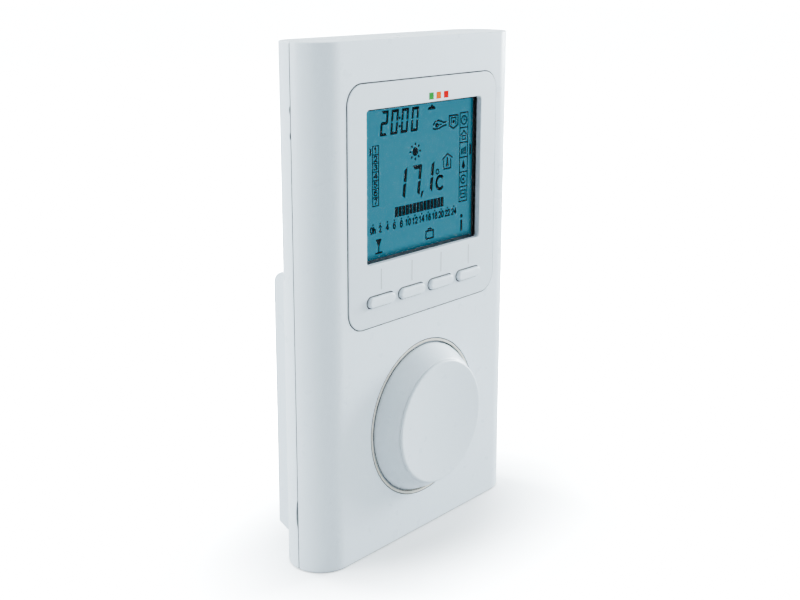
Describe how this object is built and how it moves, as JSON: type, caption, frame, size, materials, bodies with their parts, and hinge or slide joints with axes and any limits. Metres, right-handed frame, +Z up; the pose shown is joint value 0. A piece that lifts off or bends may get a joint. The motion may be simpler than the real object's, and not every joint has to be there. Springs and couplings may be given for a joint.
{
  "type": "programmable timer",
  "caption": "Wall-mounted programmable heating timer and room thermostat with a lit display, soft keys and a turn-and-press knob on a screw-on wall bracket.",
  "frame": {"origin": "middle of the bottom of the whole object's box", "axes": "+Z up, front faces -Y, wall side faces +Y, +X to the right seen from the front"},
  "size_m": [0.081, 0.0278, 0.135],
  "materials": {
    "shell_white": "smooth moulded, soft gloss, cool white",
    "knob_white": "smooth moulded, soft gloss, cool white",
    "key_white": "smooth moulded, soft gloss, cool white",
    "clear_lens": "clear polished acrylic",
    "black_foam": "matte black",
    "lcd_glass": "teal lit liquid crystal cell",
    "light_guide": "diffusing acrylic",
    "trim_beige": "smooth moulded, warm pale grey",
    "natural_plastic": "unpainted moulded plastic",
    "conductive_rubber": "layered silicone rubber",
    "led_resin": "clear resin on white carrier",
    "board_green": "green solder mask",
    "chip_black": "moulded black resin",
    "tinned_steel": "tinned or nickel plated",
    "capacitor_can": "bright can",
    "sensor_bead": "dipped bead",
    "cell_wrap": null
  },
  "bodies": {
    "housing": {"front_shell": "shell_white", "back_cover": "shell_white", "recess_ring": "trim_beige", "display_fascia": "shell_white", "display_lens": "clear_lens", "display_gasket": "black_foam", "lcd_cell": "lcd_glass", "backlight_panel": "light_guide", "lcd_holder": "natural_plastic", "zebra_strips": "conductive_rubber", "backlight_leds": "led_resin", "main_pcb": "board_green", "microcontroller": "chip_black", "radio_module": "tinned_steel", "antenna": "tinned_steel", "quartz_crystal": "tinned_steel", "capacitors": "capacitor_can", "tact_switches": "chip_black", "encoder_body": "chip_black", "encoder_bushing": "tinned_steel", "battery_1": "cell_wrap", "battery_2": "cell_wrap", "positive_contact": "tinned_steel", "negative_contact": "tinned_steel", "bridge_contact": "tinned_steel", "temperature_sensor": "sensor_bead", "case_screws": "tinned_steel", "pcb_screws": "tinned_steel"},
    "knob_carrier": {"encoder_plunger": "natural_plastic"},
    "knob_group": {"knob": "knob_white", "encoder_shaft": "tinned_steel", "knob_clip": "tinned_steel"},
    "key_1": {"button_1": "key_white", "switch_plunger_1": "natural_plastic"},
    "key_2": {"button_2": "key_white", "switch_plunger_2": "natural_plastic"},
    "key_3": {"button_3": "key_white", "switch_plunger_3": "natural_plastic"},
    "key_4": {"button_4": "key_white", "switch_plunger_4": "natural_plastic"},
    "bracket": {"wall_bracket": "shell_white"}
  },
  "joints": [
    {"name": "knob_press", "type": "slide", "parent": "housing", "child": "knob_carrier", "axis": [0, 1, 0], "range_m": [0, 0.0007], "stiffness_N_per_m": 5000},
    {"name": "knob_turn", "type": "hinge", "parent": "knob_carrier", "child": "knob_group", "pos_m": [0, -0.007, 0.0327], "axis": [0, 1, 0], "continuous": true},
    {"name": "key_1_press", "type": "slide", "parent": "housing", "child": "key_1", "axis": [0, 1, 0], "range_m": [0, 0.0004], "stiffness_N_per_m": 4000},
    {"name": "key_2_press", "type": "slide", "parent": "housing", "child": "key_2", "axis": [0, 1, 0], "range_m": [0, 0.0004], "stiffness_N_per_m": 4000},
    {"name": "key_3_press", "type": "slide", "parent": "housing", "child": "key_3", "axis": [0, 1, 0], "range_m": [0, 0.0004], "stiffness_N_per_m": 4000},
    {"name": "key_4_press", "type": "slide", "parent": "housing", "child": "key_4", "axis": [0, 1, 0], "range_m": [0, 0.0004], "stiffness_N_per_m": 4000},
    {"name": "bracket_release", "type": "slide", "parent": "housing", "child": "bracket", "axis": [0, 1, 0], "range_m": [0, 0.02]}
  ]
}
